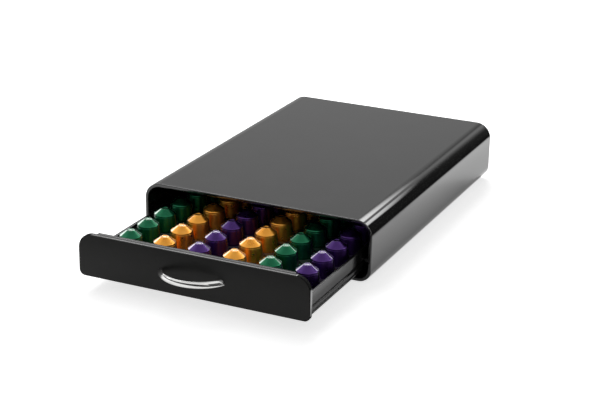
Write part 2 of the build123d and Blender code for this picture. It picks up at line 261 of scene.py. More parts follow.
def worn_edges(nodes, links, radius):
    """1 on an edge and 0 on a flat: how far the rounded normal leaves the real one."""
    rounded = nodes.new("ShaderNodeBevel")
    rounded.samples = 4
    rounded.inputs["Radius"].default_value = radius
    geometry = nodes.new("ShaderNodeNewGeometry")
    dot = nodes.new("ShaderNodeVectorMath")
    dot.operation = "DOT_PRODUCT"
    links.new(rounded.outputs["Normal"], dot.inputs[0])
    links.new(geometry.outputs["Normal"], dot.inputs[1])
    return remap(nodes, links, dot.outputs["Value"], 1.0, 0.0, FULL_WEAR_NORMAL, SAME_NORMAL)


def show_mix(nodes, links, share, first, second):
    """Show the first shader with a share of the second in it."""
    mix = nodes.new("ShaderNodeMixShader")
    for source, socket in zip((share, first.outputs[0], second.outputs[0]), mix.inputs):
        links.new(source, socket)
    output = next(n for n in nodes if n.bl_idname == "ShaderNodeOutputMaterial")
    links.new(mix.outputs[0], output.inputs["Surface"])


# %% Make a black plastic or rubber
SMUDGE_SCALE, WAVE_SCALE = 26.0, 9.0
GRAIN_DEPTH, WAVE_DEPTH, WORN_WIDTH = 0.0001, 0.002, 0.0006
MOST_SMUDGE, POLISH_ROUGHNESS = 0.35, 0.03


def plastic(name, dark, pale, rough, grain_scale, grain, wave=0.0, coat=0.0, specular=0.5):
    material, nodes, links, shader, place = new_material(name)
    smudge = noise(nodes, links, place, SMUDGE_SCALE, 5.0)
    fine = noise(nodes, links, place, grain_scale, 2.0)
    worn = worn_edges(nodes, links, WORN_WIDTH)
    tone = math_node(nodes, links, "MAXIMUM", remap(nodes, links, smudge, 0.0, MOST_SMUDGE), worn)
    links.new(colour_between(nodes, links, tone, dark, pale), shader.inputs["Base Color"])
    links.new(remap(nodes, links, smudge, *rough), shader.inputs["Roughness"])
    normal = bump(nodes, links, fine, GRAIN_DEPTH, grain)
    if wave:
        swell = noise(nodes, links, place, WAVE_SCALE, 1.0)
        normal = bump(nodes, links, swell, WAVE_DEPTH, wave, normal)
    links.new(normal, shader.inputs["Normal"])
    shader.inputs["Specular IOR Level"].default_value = specular
    if coat:
        shader.inputs["Coat Weight"].default_value = coat
        shader.inputs["Coat Roughness"].default_value = POLISH_ROUGHNESS
    print(name, "made")
    return material


# %% Give each black part its own gloss
gloss_black = plastic(
    "gloss_black_plastic", (0.006, 0.006, 0.006), (0.02, 0.02, 0.02), (0.05, 0.09), 900.0, 0.02,
    wave=0.02, coat=1.0,
)
front_black = plastic(
    "drawer_front_plastic", (0.010, 0.010, 0.0095), (0.025, 0.025, 0.024), (0.30, 0.38), 1400.0,
    0.12, specular=0.2,
)
# The rim's round corners take a darker, matt copy of the rim's plastic: painted shade where the rim
# catches no light.
shaded_rim_corner = plastic(
    "drawer_front_shaded_corner", (0.006, 0.006, 0.006), (0.015, 0.015, 0.0145), (0.50, 0.60), 1400.0,
    0.12, specular=0.05,
)
front_rim = plastic(
    "drawer_front_rim", (0.010, 0.010, 0.0095), (0.03, 0.03, 0.029), (0.06, 0.12), 900.0, 0.03,
    coat=1.0,
)
tray_black = plastic(
    "tray_plastic", (0.005, 0.005, 0.005), (0.016, 0.016, 0.016), (0.10, 0.18), 900.0, 0.04,
    coat=0.2,
)
inner_black = plastic(
    "inner_plastic", (0.006, 0.006, 0.0065), (0.018, 0.018, 0.018), (0.42, 0.55), 1800.0, 0.3,
)
rubber_black = plastic(
    "rubber", (0.010, 0.010, 0.010), (0.022, 0.022, 0.021), (0.7, 0.85), 1500.0, 0.5, specular=0.3,
)

# %% [markdown]
# ## Metals
# The handle is polished and plated, and the screws are plain zinc. Both are bare metal, so their
# colour is what they mirror, and only the roughness tells them apart. A noise that is squeezed
# along one axis by a Mapping node gives the fine streaks that polishing and rolling leave.

# %% Make a metal with streaks along it
STREAK_SQUEEZE, STREAK_DEPTH, METAL_CLOUD = 14.0, 0.00005, 60.0


def metal(name, dark, pale, rough, streak_scale, streak):
    material, nodes, links, shader, place = new_material(name)
    stretch = nodes.new("ShaderNodeMapping")
    stretch.inputs["Scale"].default_value = (1.0, 1.0, STREAK_SQUEEZE)
    links.new(place, stretch.inputs["Vector"])
    streaks = noise(nodes, links, stretch.outputs["Vector"], streak_scale, 3.0)
    cloud = remap(nodes, links, noise(nodes, links, place, METAL_CLOUD, 3.0), 0.0, 1.0)
    links.new(colour_between(nodes, links, cloud, dark, pale), shader.inputs["Base Color"])
    links.new(remap(nodes, links, streaks, *rough), shader.inputs["Roughness"])
    links.new(bump(nodes, links, streaks, STREAK_DEPTH, streak), shader.inputs["Normal"])
    shader.inputs["Metallic"].default_value = 1.0
    print(name, "made")
    return material


handle_chrome = metal(
    "polished_handle", (0.70, 0.70, 0.69), (0.80, 0.80, 0.79), (0.09, 0.14), 300.0, 0.1,
)
screw_steel = metal(
    "zinc_screw", (0.42, 0.42, 0.41), (0.62, 0.62, 0.60), (0.25, 0.42), 500.0, 0.5,
)

# %% [markdown]
# ## Lacquered aluminium for the capsules
# The capsules are thin aluminium under a coloured lacquer. The metal gives a deep, even colour,
# and the lacquer's own surface gives near-white lines where a crown's slope turns away from the
# eye. A Principled coat alone spreads that white over the whole crown. So a Layer Weight, which
# knows how steeply a face is seen, brings in a clear grey mirror only past a chosen steepness.

# %% Make a lacquer in any colour
LACQUER_CLOUD, LACQUER_GRAIN = 90.0, 2200.0
LACQUER_GRAIN_DEPTH, LACQUER_WORN_WIDTH = 0.00005, 0.0005
SHEEN_COLOUR, SHEEN_ROUGHNESS = (0.86, 0.86, 0.86, 1), 0.14
SHEEN_START, SHEEN_FULL, MOST_SHEEN = 0.43, 0.56, 0.32


def lacquer(name, deep, light):
    material, nodes, links, shader, place = new_material(name)
    cloud = noise(nodes, links, place, LACQUER_CLOUD, 3.0)
    grain = noise(nodes, links, place, LACQUER_GRAIN, 2.0)
    worn = worn_edges(nodes, links, LACQUER_WORN_WIDTH)
    tone = math_node(nodes, links, "MAXIMUM", remap(nodes, links, cloud, 0.0, 0.45), worn)
    links.new(colour_between(nodes, links, tone, deep, light), shader.inputs["Base Color"])
    links.new(remap(nodes, links, cloud, 0.26, 0.36), shader.inputs["Roughness"])
    links.new(bump(nodes, links, grain, LACQUER_GRAIN_DEPTH, 0.15), shader.inputs["Normal"])
    shader.inputs["Metallic"].default_value = 0.9
    shader.inputs["Specular IOR Level"].default_value = 0.2
    shader.inputs["Coat Weight"].default_value = 0.3
    shader.inputs["Coat Roughness"].default_value = 0.08
    sheen = nodes.new("ShaderNodeBsdfAnisotropic")
    sheen.inputs["Color"].default_value = SHEEN_COLOUR
    sheen.inputs["Roughness"].default_value = SHEEN_ROUGHNESS
    turned = nodes.new("ShaderNodeLayerWeight")
    turned.inputs["Blend"].default_value = 0.5
    steepness = turned.outputs["Facing"]
    share = remap(nodes, links, steepness, 0.0, MOST_SHEEN, SHEEN_START, SHEEN_FULL)
    show_mix(nodes, links, share, shader, sheen)
    return material


lacquers = {
    "green": lacquer("green_lacquer", (0.004, 0.125, 0.052), (0.010, 0.18, 0.082)),
    "orange": lacquer("orange_lacquer", (0.88, 0.35, 0.035), (0.97, 0.52, 0.10)),
    "purple": lacquer("purple_lacquer", (0.056, 0.018, 0.145), (0.09, 0.034, 0.205)),
}
print("finishes", sorted(m.name for m in bpy.data.materials if m.use_nodes))

# %% [markdown]
# ## Casing
# The casing is one ring: a top, two sides and a bottom with large round corners. A plain box with
# a hole would need its corners cut afterwards. It's easier to round a flat face's four corners,
# inset it by the wall's thickness, remove the middle, and draw the ring that is left out along
# the depth. Only then are the rims at the mouth eased, so that they catch a line of light.

# %% Draw the casing's ring and ease its rims
LOW_CORNER, HIGH_CORNER = 15.0, 19.0
MOUTH_EASE, BACK_RING_EASE = 1.1, 0.4
back_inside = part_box("left_bumper")[1].y / MM
ceiling = casing_high.z - CASING_WALL
floor_inside = casing_low.z + CASING_WALL

casing_mesh = bmesh.new()
outline = round_upright_face(
    casing_mesh, casing_width, casing_low.z, casing_high.z, casing_low.y,
    LOW_CORNER, HIGH_CORNER, 20,
)
ring = bmesh.ops.inset_region(
    casing_mesh, faces=outline, thickness=CASING_WALL, use_even_offset=True, use_boundary=True,
)["faces"]
bmesh.ops.delete(casing_mesh, geom=outline, context="FACES")
thicken(casing_mesh, ring, casing_high.y - casing_low.y)
ease(casing_mesh, edges_at_depth(casing_mesh, casing_low.y), MOUTH_EASE, 4)
ease(casing_mesh, edges_at_depth(casing_mesh, casing_high.y), BACK_RING_EASE, 2)

# %% Add the ribs under its top and the blocks for the back screws
RIB_HEIGHT, RIB_WIDTH, RIB_PITCH, RIB_COUNT, RIB_SETBACK = 3.0, 2.0, 46.0, 5, 12.0
BOSS_REACH, BOSS_LENGTH = 4.0, 18.0
SUNK_IN = 0.5
for number in range(RIB_COUNT):
    x = (number - (RIB_COUNT - 1) / 2) * RIB_PITCH
    box_part(
        casing_mesh,
        (x - RIB_WIDTH / 2, casing_low.y + RIB_SETBACK, ceiling - RIB_HEIGHT),
        (x + RIB_WIDTH / 2, back_inside - BOSS_LENGTH, ceiling + SUNK_IN), 0.4,
    )
screw_box_low, screw_box_high = [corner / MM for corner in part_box("back_screws")]
SMALL_HEAD, SMALL_SHANK, SMALL_HEAD_HEIGHT = 2.7, 1.4, 1.7
back_screw_xs = (screw_box_low.x + SMALL_HEAD, screw_box_high.x - SMALL_HEAD)
back_screw_zs = (floor_inside + BOSS_REACH, ceiling - BOSS_REACH)
for x in back_screw_xs:
    for z, wall in zip(back_screw_zs, (floor_inside - SUNK_IN, ceiling + SUNK_IN)):
        face = z + BOSS_REACH if wall < z else z - BOSS_REACH
        box_part(
            casing_mesh,
            (x - BOSS_REACH, back_inside - BOSS_LENGTH, min(wall, face)),
            (x + BOSS_REACH, back_inside, max(wall, face)), 0.5,
        )
finish_piece(
    casing_mesh, "casing_shell", "casing_body", ["casing"], gloss_black,
)

# %% [markdown]
# ## Back panel, feet and bumpers
# The panel repeats the casing's outline a little smaller, with a shallow groove round its edge.
# The feet and bumpers are small turned rubber buttons: a profile is spun a full turn, and the
# spin joins its own ends when use_merge is on.

# %% Draw the back panel
PANEL_GAP = 0.3
PANEL_THICKNESS = 3.0
GROOVE_INSET, GROOVE_WIDTH, GROOVE_DEPTH = 9.0, 1.2, 0.5
panel_inset = CASING_WALL + PANEL_GAP
panel_mesh = bmesh.new()
panel_face = round_upright_face(
    panel_mesh, casing_width - 2 * panel_inset, casing_low.z + panel_inset,
    casing_high.z - panel_inset, back_inside, LOW_CORNER - panel_inset, HIGH_CORNER - panel_inset,
)
thicken(panel_mesh, panel_face, PANEL_THICKNESS)
back_face = max(panel_mesh.faces, key=lambda f: (f.calc_center_median().y, f.calc_area()))
back_faces = [back_face]
for width in (GROOVE_INSET, GROOVE_WIDTH):
    bmesh.ops.inset_region(panel_mesh, faces=back_faces, thickness=width, use_even_offset=True)
groove_faces = [f for e in back_face.edges for f in e.link_faces if f is not back_face]
sunk = bmesh.ops.extrude_face_region(panel_mesh, geom=list(set(groove_faces)))
sunk_verts = [item for item in sunk["geom"] if isinstance(item, bmesh.types.BMVert)]
bmesh.ops.delete(panel_mesh, geom=list(set(groove_faces)), context="FACES")
bmesh.ops.translate(panel_mesh, vec=(0, -GROOVE_DEPTH, 0), verts=sunk_verts)
PANEL_RIB_XS, PANEL_RIB_HALF, PANEL_RIB_REACH, PANEL_RIB_ENDS = (-60.0, -20.0, 20.0, 60.0), 1, 4, 16
for x in PANEL_RIB_XS:
    box_part(
        panel_mesh,
        (x - PANEL_RIB_HALF, back_inside - PANEL_RIB_REACH, floor_inside + PANEL_RIB_ENDS),
        (x + PANEL_RIB_HALF, back_inside + SUNK_IN, ceiling - PANEL_RIB_ENDS), 0.3,
    )
finish_piece(
    panel_mesh, "back_cover", "casing_body", ["back_panel"], inner_black,
)

# %% Turn the feet
FOOT_PROFILE = [
    (0, 1.5), (8, 1.5), (8, 0.7), (7.8, 0.3), (7.3, 0.06), (6.8, 0), (5, 0), (4.7, 0.25), (0, 0.25),
]
for corner in ("front_left", "back_left", "front_right", "back_right"):
    node = f"foot_{corner}"
    low, high = [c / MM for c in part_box(node)]
    foot_mesh = bmesh.new()
    turned_part(foot_mesh, FOOT_PROFILE, ((low.x + high.x) / 2, (low.y + high.y) / 2, 0))
    finish_piece(foot_mesh, f"pad_{corner}", "casing_body", [node], rubber_black)

# %% Turn the bumpers
BUMPER_PROFILE = [(0, 0), (5, 0), (5, 4.0), (4.75, 4.6), (4.2, 4.95), (3.4, 5.05), (0, 5.05)]
TOWARDS_FRONT = Matrix.Rotation(math.pi / 2, 4, "X")
for side in ("left", "right"):
    node = f"{side}_bumper"
    low, high = [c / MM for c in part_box(node)]
    middle = (low + high) / 2
    bumper_mesh = bmesh.new()
    seat = (middle.x, high.y, middle.z)
    turned_part(bumper_mesh, BUMPER_PROFILE, seat, 32, TOWARDS_FRONT)
    finish_piece(bumper_mesh, f"{side}_buffer", "casing_body", [node], rubber_black)

# %% [markdown]
# ## Screws
# Every screw is a pan head with a cross recess. One is turned as a template mesh. Four cuts
# mark out the cross on its flat top, and the cross is pushed in. Then the template is stamped
# wherever a screw goes, so all of one kind are alike, as bought screws are.

# %% Keep a mesh as a template, and stamp it where it's wanted
def template(bm, name):
    bmesh.ops.recalc_face_normals(bm, faces=bm.faces)
    mesh = bpy.data.meshes.new(name)
    bm.to_mesh(mesh)
    bm.free()
    return mesh


def stamp(bm, mesh, place):
    count = len(bm.verts)
    bm.from_mesh(mesh)
    bmesh.ops.transform(bm, matrix=place, verts=list(bm.verts)[count:])


# %% Make a screw with a cross recess
FLAT_SHARE, SLOT_SHARE, RECESS_SHARE = 0.62, 0.13, 0.55


def screw_template(name, head, head_height, shank, length, steps=24):
    bm = bmesh.new()
    flat = FLAT_SHARE * head
    profile = [
        (0, head_height), (flat, head_height), (0.82 * head, 0.86 * head_height),
        (0.95 * head, 0.6 * head_height), (head, 0.25 * head_height), (head, 0), (shank, 0),
        (shank, 0.9 - length), (0.3 * shank, -length), (0, -length),
    ]
    turned_part(bm, profile, (0, 0, 0), steps)
    half = SLOT_SHARE * head
    for direction in ((1, 0, 0), (0, 1, 0)):
        for offset in (-half, half):
            bmesh.ops.bisect_plane(
                bm, geom=bm.verts[:] + bm.edges[:] + bm.faces[:], plane_no=direction,
                plane_co=[offset * d for d in direction], dist=CUT_SNAP,
            )
    cross = []
    for face in bm.faces:
        middle = face.calc_center_median()
        on_top = abs(middle.z - head_height) < SAME_PLACE and middle.xy.length < flat
        if on_top and (abs(middle.x) < half or abs(middle.y) < half):
            cross.append(face)
    sunk = bmesh.ops.extrude_face_region(bm, geom=cross)["geom"]
    sunk_verts = [item for item in sunk if isinstance(item, bmesh.types.BMVert)]
    bmesh.ops.translate(bm, vec=(0, 0, -RECESS_SHARE * head_height), verts=sunk_verts)
    bmesh.ops.delete(bm, geom=[f for f in cross if f.is_valid], context="FACES")
    bmesh.ops.remove_doubles(bm, verts=bm.verts[:], dist=SAME_PLACE)
    return template(bm, name)


# %% Stamp a set of screws
TURNS = {
    "down": Matrix.Rotation(math.pi, 4, "X"), "back": Matrix.Rotation(-math.pi / 2, 4, "X"),
    "left": Matrix.Rotation(-math.pi / 2, 4, "Y"), "right": Matrix.Rotation(math.pi / 2, 4, "Y"),
}
TWIST = math.radians(37)


def screws(name, body, node, mesh, places):
    """Stamp a screw at each (point, way its head faces), each turned a little differently."""
    bm = bmesh.new()
    for number, (point, facing) in enumerate(places):
        twist = Matrix.Rotation(TWIST * number, 4, "Z")
        stamp(bm, mesh, Matrix.Translation(point) @ TURNS[facing] @ twist)
    return finish_piece(bm, name, body, [node], screw_steel)


# %% Make one template for each length
HANDLE_HEAD, HANDLE_SHANK, HANDLE_HEAD_HEIGHT = 3.7, 1.9, 2.4
small_screw = (SMALL_HEAD, SMALL_HEAD_HEIGHT, SMALL_SHANK)
small_long = screw_template("small_long", *small_screw, 12.0)
small_front = screw_template("small_front", *small_screw, 7.3)
small_runner = screw_template("small_runner", *small_screw, 5.4)
small_stop = screw_template("small_stop", *small_screw, 5.5)
handle_long = screw_template("handle_long", HANDLE_HEAD, HANDLE_HEAD_HEIGHT, HANDLE_SHANK, 11.0)

# %% Place the casing's screws
RUNNER_BASE, STOP_BASE = 2.4, 2.5
screws("back_cover_screws", "casing_body", "back_screws", small_long, [
    ((x, back_inside + PANEL_THICKNESS, z), "back") for x in back_screw_xs for z in back_screw_zs
])
runner_low, runner_high = [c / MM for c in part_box("runner_screws")]
runner_z = (runner_low.z + runner_high.z) / 2
runner_step = (runner_high.y - runner_low.y - 2 * SMALL_HEAD) / 2
runner_ys = [runner_low.y + SMALL_HEAD + number * runner_step for number in range(3)]
inner_face = casing_high.x - CASING_WALL - RUNNER_BASE
screws("runner_fixings", "casing_body", "runner_screws", small_runner, [
    ((side * inner_face, y, runner_z), "left" if side > 0 else "right")
    for side in (-1, 1) for y in runner_ys
])
stop_low, stop_high = [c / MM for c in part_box("stop_screws")]
screws("stop_fixings", "casing_body", "stop_screws", small_stop, [
    ((x, (stop_low.y + stop_high.y) / 2, ceiling - STOP_BASE), "down")
    for x in (stop_low.x + SMALL_HEAD, stop_high.x - SMALL_HEAD)
])

# %% Place the drawer's screws
TRAY_FRONT_WALL, HANDLE_HALF = 4.3, 36.5
FRONT_SCREW_XS = (-106.0, -30.0, 30.0, 106.0)
inner_wall = tray_low.y + TRAY_FRONT_WALL
front_z = (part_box("front_screws")[0].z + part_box("front_screws")[1].z) / 2 / MM
screws("front_fixings", "drawer", "front_screws", small_front, [
    ((x, inner_wall, front_z), "back") for x in FRONT_SCREW_XS
])
handle_z = (handle_low.z + handle_high.z) / 2
screws("handle_fixings", "drawer", "handle_screws", handle_long, [
    ((side * HANDLE_HALF, inner_wall, handle_z), "back") for side in (-1, 1)
])

# %% [markdown]
# ## Drawer front
# A flat plate with larger upper corners than lower ones. Its finish is quieter than the
# casing's: the picture shows an even charcoal with no mirror image in it, so its roughness is
# higher and its mirror weaker. Its eased rim is glossy and picks up a thin line of light along
# the straight edges. At the round corners the picture has no such light, so there the rim takes
# a darker, matt copy of its plastic: painted shade. The plate is one mesh, and each face's
# normal says which of the three finishes it takes.

# %% Draw the drawer front
FRONT_LOW_CORNER, FRONT_HIGH_CORNER = 7.0, 17.0
FRONT_EASE, FRONT_BACK_EASE = 0.8, 0.3
front_mesh = bmesh.new()
front_face = round_upright_face(
    front_mesh, front_high.x - front_low.x, front_low.z, front_high.z, front_low.y,
    FRONT_LOW_CORNER, FRONT_HIGH_CORNER, 18,
)
thicken(front_mesh, front_face, front_high.y - front_low.y)
ease(front_mesh, edges_at_depth(front_mesh, front_low.y), FRONT_EASE, 4)
ease(front_mesh, edges_at_depth(front_mesh, front_high.y), FRONT_BACK_EASE, 2)
front_plate = finish_piece(
    front_mesh, "front_plate", "drawer", ["drawer_front"], front_black,
)

# %% Give its rim and its rim's corners their own finishes
PLATE, RIM, CORNER = range(3)
front_plate.data.materials.append(front_rim)
front_plate.data.materials.append(shaded_rim_corner)
SQUARE_ON, LEAST_TURN, MOST_TURN, BACK_STRIP = 0.999, 0.06, 0.95, 0.45
for face in front_plate.data.polygons:
    turns = (abs(face.normal.x), -face.normal.z)
    at_corner = any(LEAST_TURN < turn < MOST_TURN for turn in turns)
    at_back = face.center.y > (front_high.y - BACK_STRIP) * MM
    if face.normal.y < -SQUARE_ON:
        face.material_index = PLATE
    else:
        face.material_index = CORNER if at_corner and not at_back else RIM
counts = [sum(f.material_index == slot for f in front_plate.data.polygons) for slot in range(3)]
print("faces of the plate, its rim and its rim's corners", counts)

# %% [markdown]
# ## Drawer box
# The box's sides carry a deep groove for the runner and a shallow one below it. Cutting them
# out of a finished box would leave thin skins at the ends. So the cross-section comes first: one
# upright face is cut into cells along each groove's lines, the cells of the hollow and the
# grooves are deleted, and what is left is drawn out along the depth in one go.

# %% Draw the box's sides and floor from their cross-section
TRAY_WALL, TRAY_FLOOR, SIDE_HEIGHT = 3.2, 2.2, 24.8
GROOVE, RELIEF = (7.3, 11.3, 1.7), (1.9, 3.9, 1.2)  # from, to and how deep
tray_half = tray_high.x
inner_half = tray_half - TRAY_WALL
side_top = tray_low.z + SIDE_HEIGHT
tray_mesh = bmesh.new()
upright_face(tray_mesh, 2 * tray_half, tray_low.z, side_top, tray_low.y)
across = [inner_half] + [tray_half - cut[2] for cut in (GROOVE, RELIEF)]
upwards = [TRAY_FLOOR] + [edge for cut in (GROOVE, RELIEF) for edge in cut[:2]]
planes = [((side * x, 0, 0), (1, 0, 0)) for x in across for side in (-1, 1)]
planes += [((0, 0, tray_low.z + z), (0, 0, 1)) for z in upwards]
for point, direction in planes:
    bmesh.ops.bisect_plane(
        tray_mesh, geom=tray_mesh.verts[:] + tray_mesh.edges[:] + tray_mesh.faces[:],
        plane_co=point, plane_no=direction, dist=CUT_SNAP,
    )


def is_cut_away(point):
    inwards, up = tray_half - abs(point.x), point.z - tray_low.z
    in_hollow = inwards > TRAY_WALL and up > TRAY_FLOOR
    in_groove = any(low < up < high and inwards < deep for low, high, deep in (GROOVE, RELIEF))
    return in_hollow or in_groove


cells = [f for f in tray_mesh.faces if is_cut_away(f.calc_center_median())]
bmesh.ops.delete(tray_mesh, geom=cells, context="FACES")
bmesh.ops.dissolve_limit(
    tray_mesh, angle_limit=math.radians(1), verts=tray_mesh.verts[:], edges=tray_mesh.edges[:],
)
thicken(tray_mesh, tray_mesh.faces[:], tray_high.y - tray_low.y)
lengthwise = [e for e in tray_mesh.edges if abs(e.verts[0].co.y - e.verts[1].co.y) > 1]
ease(tray_mesh, [e for e in lengthwise if e.calc_face_angle(0) > 1], 0.5, 3)
print("the box's cross-section is drawn out:", len(tray_mesh.faces), "faces")

# %% Add its front wall and back wall
TOP_SHOULDER, RAISED_BACK_WIDTH = 14.0, 104.0


def prism(bm, points, start, depth, rounding):
    """A flat outline of (x, z) points, drawn out towards the back."""
    part = bmesh.new()
    part.faces.new([part.verts.new((x, start, z)) for x, z in points])
    thicken(part, part.faces[:], depth)
    ease(part, [e for e in part.edges if e.calc_face_angle(0) > 0.3], rounding, 3)
    mesh = template(part, "part")
    stamp(bm, mesh, Matrix.Identity(4))
    bpy.data.meshes.remove(mesh)


top_half = tray_half - TOP_SHOULDER
prism(
    tray_mesh,
    [(-tray_half, tray_low.z), (tray_half, tray_low.z), (tray_half, side_top),
     (top_half, side_top + TOP_SHOULDER / 2), (top_half, front_high.z), (-top_half, front_high.z),
     (-top_half, side_top + TOP_SHOULDER / 2), (-tray_half, side_top)],
    tray_low.y, TRAY_FRONT_WALL, 0.5,
)
back_wall = tray_high.y - TRAY_WALL
box_part(
    tray_mesh, (-inner_half - 1, back_wall, tray_low.z + 0.6),
    (inner_half + 1, tray_high.y, side_top), 0.5, 3,
)
box_part(
    tray_mesh, (-RAISED_BACK_WIDTH / 2, back_wall, tray_low.z + 4),
    (RAISED_BACK_WIDTH / 2, tray_high.y, tray_high.z), 0.5, 3,
)

# %% Add the webs that hold its front wall upright
WEB_XS, WEB_THICKNESS, WEB_BELOW_TOP, SUNK = (-92.0, -58.0, 58.0, 92.0), 2.4, 6, 0.3
WEB_REACHES = (0, 18, 6, 0)
web_zs = [tray_low.z + TRAY_FLOOR - SUNK] * 2 + [front_high.z - WEB_BELOW_TOP] * 2
for x in WEB_XS:
    web = bmesh.new()
    web.faces.new([
        web.verts.new((x - WEB_THICKNESS / 2, inner_wall - SUNK + reach, z))
        for reach, z in zip(WEB_REACHES, web_zs)
    ])
    made = bmesh.ops.extrude_face_region(web, geom=web.faces[:], use_keep_orig=True)["geom"]
    moved = [item for item in made if isinstance(item, bmesh.types.BMVert)]
    bmesh.ops.translate(web, vec=(WEB_THICKNESS, 0, 0), verts=moved)
    bmesh.ops.recalc_face_normals(web, faces=web.faces)
    ease(web, web.edges[:], 0.3, 2)
    web_mesh = template(web, "web")
    stamp(tray_mesh, web_mesh, Matrix.Identity(4))
    bpy.data.meshes.remove(web_mesh)
finish_piece(
    tray_mesh, "drawer_box", "drawer", ["drawer_tray"], tray_black,
)

# %% [markdown]
# ## Handle
# The handle is a bow of constant section: an arc of a circle seen from above. A section is drawn
# once and spun part of a turn about the bow's centre. The section is taller than it is deep and
# nearly flat in front. Its upper and lower curves mirror what is bright, and the flat between
# them the dark room in front, so it shows two bright lines. Both of its ends slant in the
# picture, so the whole bar is a little wider at its lower edge than at its upper one.

# %% Spin the handle's section
BAR_HEIGHT, BAR_DEPTH = 7.2, 4.6
SQUARENESS, PAST_THE_FRONT = 0.8, 0.11
reach_out = front_low.y - handle_low.y - BAR_DEPTH / 2
bow_radius = (HANDLE_HALF**2 + reach_out**2) / (2 * reach_out)
bow_centre = Vector((0, front_low.y + bow_radius - reach_out, handle_z))
half_turn = math.atan2(HANDLE_HALF, bow_radius - reach_out) + PAST_THE_FRONT
handle_mesh = bmesh.new()
section = bmesh.ops.create_circle(
    handle_mesh, cap_ends=False, segments=28, radius=1.0,
)["verts"]
for v in section:
    across, up = v.co.x, v.co.y
    v.co.x = math.copysign(abs(across) ** SQUARENESS, across) * BAR_DEPTH / 2
    v.co.y = math.copysign(abs(up) ** SQUARENESS, up) * BAR_HEIGHT / 2
stand = Matrix.Rotation(math.pi / 2, 4, "Z") @ Matrix.Rotation(math.pi / 2, 4, "X")
swing = Matrix.Rotation(-half_turn, 4, "Z")
place = Matrix.Translation(bow_centre) @ swing @ Matrix.Translation((0, -bow_radius, 0)) @ stand
bmesh.ops.transform(handle_mesh, matrix=place, verts=section)
bmesh.ops.spin(
    handle_mesh, geom=handle_mesh.edges[:], cent=bow_centre, axis=(0, 0, 1),
    angle=2 * half_turn, steps=72, use_merge=False,
)

# %% Cut it off at the drawer's front, and make its lower edge the wider one
BAR_LEAN = 0.014
bmesh.ops.bisect_plane(
    handle_mesh, geom=handle_mesh.verts[:] + handle_mesh.edges[:] + handle_mesh.faces[:],
    plane_co=(0, front_low.y, 0), plane_no=(0, 1, 0), clear_outer=True, dist=CUT_SNAP,
)
open_edges = [e for e in handle_mesh.edges if e.is_boundary]
bmesh.ops.holes_fill(handle_mesh, edges=open_edges, sides=0)
for v in handle_mesh.verts:
    v.co.x *= 1 + BAR_LEAN * (handle_z - v.co.z)
finish_piece(
    handle_mesh, "bow_handle", "drawer", ["handle"], handle_chrome,
)

# %% [markdown]
# ## Insert
# The capsules stand in a deck of round sockets. One socket is made as a square tile: a circle
# and the same number of points on the tile's border are bridged into a ring, and the circle is
# drawn down to the socket's floor. The tile is stamped once for each capsule and the borders
# are merged, so the deck is one skin with no seams.

# %% Make one socket's tile
COLUMN_XS = sorted(side * x for side in (-1, 1) for x in (107.0, 64.2, 21.4))
COLUMN_PITCH = 42.8
FIRST_ROW, ROW_PITCH, ROWS = -203.0, 37.9, 9
SOCKET_RADIUS, SOCKET_FLOOR, CIRCLE_STEPS = 18.7, 25.0, 48
deck_top = insert_high.z
tile_mesh = bmesh.new()
hole, rim = [
    bmesh.ops.create_circle(
        tile_mesh, cap_ends=False, segments=CIRCLE_STEPS, radius=radius,
    )["verts"]
    for radius in (SOCKET_RADIUS, 1.0)
]
for v in rim:
    reach = max(abs(v.co.x), abs(v.co.y))
    v.co = Vector((v.co.x / reach * COLUMN_PITCH / 2, v.co.y / reach * ROW_PITCH / 2, 0))
bmesh.ops.bridge_loops(tile_mesh, edges=tile_mesh.edges[:])
print("tile", len(tile_mesh.faces), "faces round its hole")

# %% Draw its hole down to the socket's floor, and ease the rim
hole_edges = [e for e in tile_mesh.edges if all(v in set(hole) for v in e.verts)]
down = bmesh.ops.extrude_edge_only(tile_mesh, edges=hole_edges)["geom"]
down_verts = [item for item in down if isinstance(item, bmesh.types.BMVert)]
bmesh.ops.translate(tile_mesh, vec=(0, 0, SOCKET_FLOOR - deck_top), verts=down_verts)
down_edges = [item for item in down if isinstance(item, bmesh.types.BMEdge)
              and all(v in set(down_verts) for v in item.verts)]
bmesh.ops.contextual_create(tile_mesh, geom=down_edges)


def is_on_rim(place):
    return abs(place.z) < SAME_PLACE and abs(place.xy.length - SOCKET_RADIUS) < ON_PLANE


ease(tile_mesh, [e for e in tile_mesh.edges if all(is_on_rim(v.co) for v in e.verts)], 0.18, 2)
tile = template(tile_mesh, "socket_tile")

# %% Stamp the tiles and close the deck with a skirt
insert_mesh = bmesh.new()
for x in COLUMN_XS:
    for row in range(ROWS):
        stamp(insert_mesh, tile, Matrix.Translation((x, FIRST_ROW + row * ROW_PITCH, deck_top)))
bmesh.ops.remove_doubles(insert_mesh, verts=insert_mesh.verts[:], dist=0.01)
border = [e for e in insert_mesh.edges if e.is_boundary]
NEAR_BORDER = 0.1
half_deck = 3 * COLUMN_PITCH - NEAR_BORDER
deck_front = FIRST_ROW - ROW_PITCH / 2 + NEAR_BORDER
deck_back = FIRST_ROW + (ROWS - 0.5) * ROW_PITCH - NEAR_BORDER
for v in {v for e in border for v in e.verts}:
    v.co.x = math.copysign(insert_high.x, v.co.x) if abs(v.co.x) > half_deck else v.co.x
    v.co.y = insert_low.y if v.co.y < deck_front else v.co.y
    v.co.y = insert_high.y if v.co.y > deck_back else v.co.y
skirt = bmesh.ops.extrude_edge_only(insert_mesh, edges=border)["geom"]
skirt_verts = [item for item in skirt if isinstance(item, bmesh.types.BMVert)]
bmesh.ops.translate(insert_mesh, vec=(0, 0, insert_low.z - deck_top), verts=skirt_verts)
bmesh.ops.recalc_face_normals(insert_mesh, faces=insert_mesh.faces)
ease(insert_mesh, [e for e in border if e.is_valid and len(e.link_faces) == 2], 0.5, 3)
finish_piece(
    insert_mesh, "socket_deck", "drawer", ["capsule_insert"], inner_black,
    outwards=False,
)

